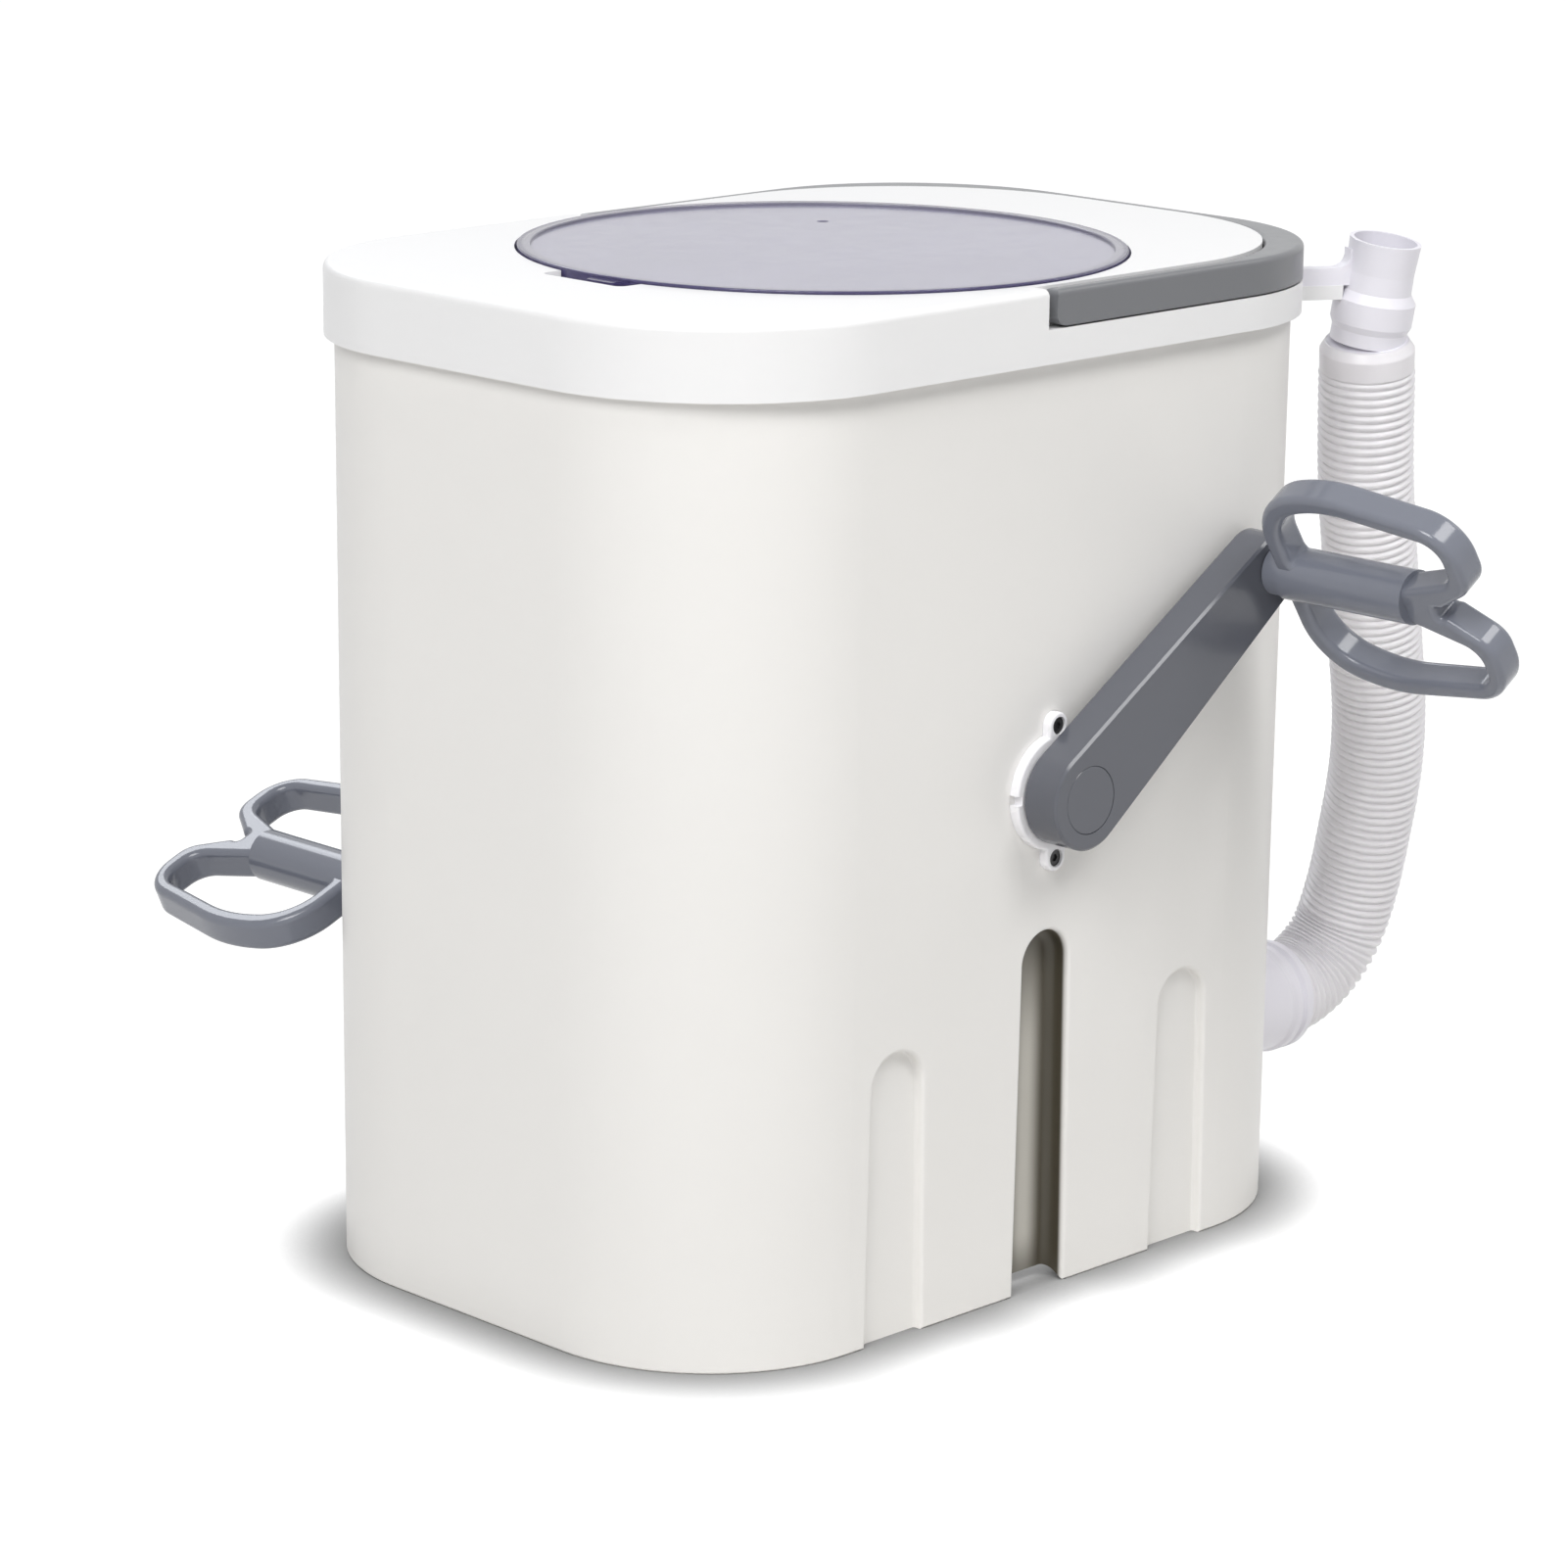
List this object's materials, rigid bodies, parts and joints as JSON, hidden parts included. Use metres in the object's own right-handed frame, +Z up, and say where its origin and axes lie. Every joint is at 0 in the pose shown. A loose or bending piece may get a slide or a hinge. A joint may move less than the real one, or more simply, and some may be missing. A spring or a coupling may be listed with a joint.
{
  "type": "manual clothes washer",
  "caption": "Hand-cranked tub clothes washer: moulded tub and cover, round clear lid, flush carrying handle, cranks with figure-of-eight grips, ribbed drain hose.",
  "frame": {"origin": "on the floor, under the middle of the tub's plan", "axes": "+X toward the end with the drain hose, -Y to the crank beside the nozzle, +Z up"},
  "size_m": [0.487, 0.525, 0.4177],
  "materials": {
    "tub_white": "moulded, warm off-white",
    "cover_white": "moulded, white, smooth",
    "lid_lavender": "clear to hazy, tinted lavender grey",
    "handle_grey": "moulded, dark blue-grey",
    "crank_grey": "moulded, dark blue-grey",
    "flange_white": "moulded, white",
    "steel": "plain steel",
    "black_screw": "black-coated steel",
    "rubber_black": "soft, black",
    "paddle_plastic": "moulded, pale grey",
    "bush_plastic": "plain bearing plastic",
    "drain_plastic": "moulded, pale lavender",
    "hose_plastic": "ribbed, flexible, pale"
  },
  "bodies": {
    "washer": {"tub": "tub_white", "cover": "cover_white", "cover_seal": "rubber_black", "drain_spigot": "drain_plastic", "drain_gasket": "rubber_black", "drain_nut": "drain_plastic", "drain_strainer": "drain_plastic", "hose_cuff": "drain_plastic", "hose": "hose_plastic", "hose_nozzle": "drain_plastic", "bearing_flange_front": "flange_white", "flange_screws_front": "black_screw", "shaft_bush_front": "bush_plastic", "shaft_seal_front": "rubber_black", "bearing_flange_rear": "flange_white", "flange_screws_rear": "black_screw", "shaft_bush_rear": "bush_plastic", "shaft_seal_rear": "rubber_black"},
    "crank": {"crankshaft": "steel", "agitator_hub": "paddle_plastic", "hub_pins": "steel", "paddle_1": "paddle_plastic", "paddle_2": "paddle_plastic", "paddle_3": "paddle_plastic", "paddle_4": "paddle_plastic", "crank_arm_front": "crank_grey", "crank_screw_front": "steel", "crank_cap_front": "crank_grey", "grip_bush_front": "bush_plastic", "crank_arm_rear": "crank_grey", "crank_screw_rear": "steel", "crank_cap_rear": "crank_grey", "grip_bush_rear": "bush_plastic"},
    "front_grip": {"grip_front": "crank_grey", "grip_spindle_front": "steel", "grip_washer_front": "steel", "grip_screw_front": "steel"},
    "rear_grip": {"grip_rear": "crank_grey", "grip_spindle_rear": "steel", "grip_washer_rear": "steel", "grip_screw_rear": "steel"},
    "carry_handle": {"handle": "handle_grey"},
    "lid": {"lid": "lid_lavender"}
  },
  "joints": [
    {"name": "crank_turn", "type": "hinge", "parent": "washer", "child": "crank", "pos_m": [0, 0, 0.212], "axis": [0, 1, 0], "continuous": true},
    {"name": "front_grip_turn", "type": "hinge", "parent": "crank", "child": "front_grip", "pos_m": [0.11141, 0, 0.29001], "axis": [0, 1, 0], "continuous": true},
    {"name": "rear_grip_turn", "type": "hinge", "parent": "crank", "child": "rear_grip", "pos_m": [-0.11141, 0, 0.13399], "axis": [0, 1, 0], "continuous": true},
    {"name": "handle_fold", "type": "hinge", "parent": "washer", "child": "carry_handle", "pos_m": [-0.002, 0, 0.4094], "axis": [0, -1, 0], "range_deg": [0, 90]},
    {"name": "lid_lift", "type": "slide", "parent": "washer", "child": "lid", "axis": [0, 0, 1], "range_m": [0, 0.1]}
  ]
}
